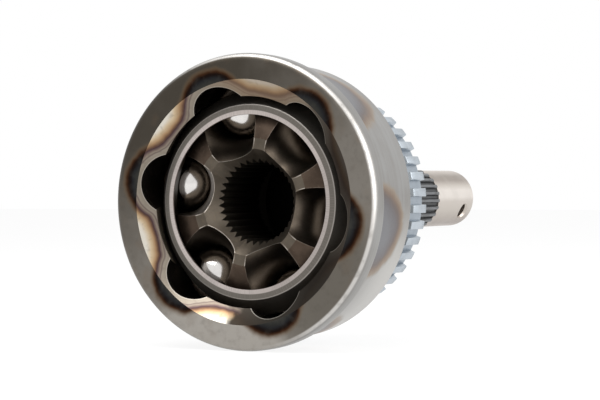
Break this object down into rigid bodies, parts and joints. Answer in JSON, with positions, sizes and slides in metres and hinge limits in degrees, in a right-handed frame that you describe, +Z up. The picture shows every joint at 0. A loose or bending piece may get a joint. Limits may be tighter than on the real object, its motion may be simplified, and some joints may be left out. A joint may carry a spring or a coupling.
{
  "type": "cv joint",
  "caption": "Fixed ball-type constant velocity joint: bell with splined stub shaft, toothed ring, cage, star-shaped inner race and bearing balls.",
  "frame": {"origin": "joint centre: where the plane of the balls crosses the shaft axis, in the middle of the inner race's splined bore", "axes": "+X along the stub shaft, away from the open mouth of the bell; +Z up; Y is the axis of the bend that is modelled"},
  "size_m": [0.1531, 0.089, 0.089],
  "materials": {
    "forged_steel": "turned satin steel with heat tint by the hardened tracks",
    "zinc_plate": "pale blue zinc plate, satin",
    "cage_steel": "hardened steel with a ground front face",
    "race_steel": "hardened brown-grey steel, satin",
    "ball_steel": "polished bearing steel"
  },
  "bodies": {
    "outer_race": {"outer_race": "forged_steel", "tone_ring": "zinc_plate"},
    "inner_race": {"inner_race": "race_steel"},
    "cage": {"cage": "cage_steel"},
    "ball_1": {"ball_1": "ball_steel"},
    "ball_2": {"ball_2": "ball_steel"},
    "ball_3": {"ball_3": "ball_steel"},
    "ball_4": {"ball_4": "ball_steel"},
    "ball_5": {"ball_5": "ball_steel"},
    "ball_6": {"ball_6": "ball_steel"}
  },
  "joints": [
    {"name": "shaft_bend", "type": "hinge", "parent": "outer_race", "child": "inner_race", "pos_m": [0, 0, 0], "axis": [0, 1, 0], "range_deg": [-45, 45]},
    {"name": "cage_tilt", "type": "hinge", "parent": "outer_race", "child": "cage", "pos_m": [0, 0, 0], "axis": [0, 1, 0], "range_deg": [-23, 23]},
    {"name": "ball_1_roll", "type": "hinge", "parent": "outer_race", "child": "ball_1", "pos_m": [-0.0035, 0, 0], "axis": [0, 0.749, 0.6626], "range_deg": [-17.7, 17.7]},
    {"name": "ball_2_roll", "type": "hinge", "parent": "outer_race", "child": "ball_2", "pos_m": [-0.0035, 0, 0], "axis": [0, -0.1994, 0.9799], "range_deg": [-5.2, 5.2]},
    {"name": "ball_3_roll", "type": "hinge", "parent": "outer_race", "child": "ball_3", "pos_m": [-0.0035, 0, 0], "axis": [0, -0.9483, 0.3173], "range_deg": [-21.9, 21.9]},
    {"name": "ball_4_roll", "type": "hinge", "parent": "outer_race", "child": "ball_4", "pos_m": [-0.0035, 0, 0], "axis": [0, -0.749, -0.6626], "range_deg": [-17.7, 17.7]},
    {"name": "ball_5_roll", "type": "hinge", "parent": "outer_race", "child": "ball_5", "pos_m": [-0.0035, 0, 0], "axis": [0, 0.1994, -0.9799], "range_deg": [-5.2, 5.2]},
    {"name": "ball_6_roll", "type": "hinge", "parent": "outer_race", "child": "ball_6", "pos_m": [-0.0035, 0, 0], "axis": [0, 0.9483, -0.3173], "range_deg": [-21.9, 21.9]}
  ],
  "couplings": [
    {"joint": "cage_tilt", "follows": "shaft_bend", "ratio": 0.5},
    {"joint": "ball_1_roll", "follows": "shaft_bend", "ratio": 0.3831},
    {"joint": "ball_2_roll", "follows": "shaft_bend", "ratio": -0.1039},
    {"joint": "ball_3_roll", "follows": "shaft_bend", "ratio": -0.4765},
    {"joint": "ball_4_roll", "follows": "shaft_bend", "ratio": -0.3831},
    {"joint": "ball_5_roll", "follows": "shaft_bend", "ratio": 0.1039},
    {"joint": "ball_6_roll", "follows": "shaft_bend", "ratio": 0.4765}
  ]
}
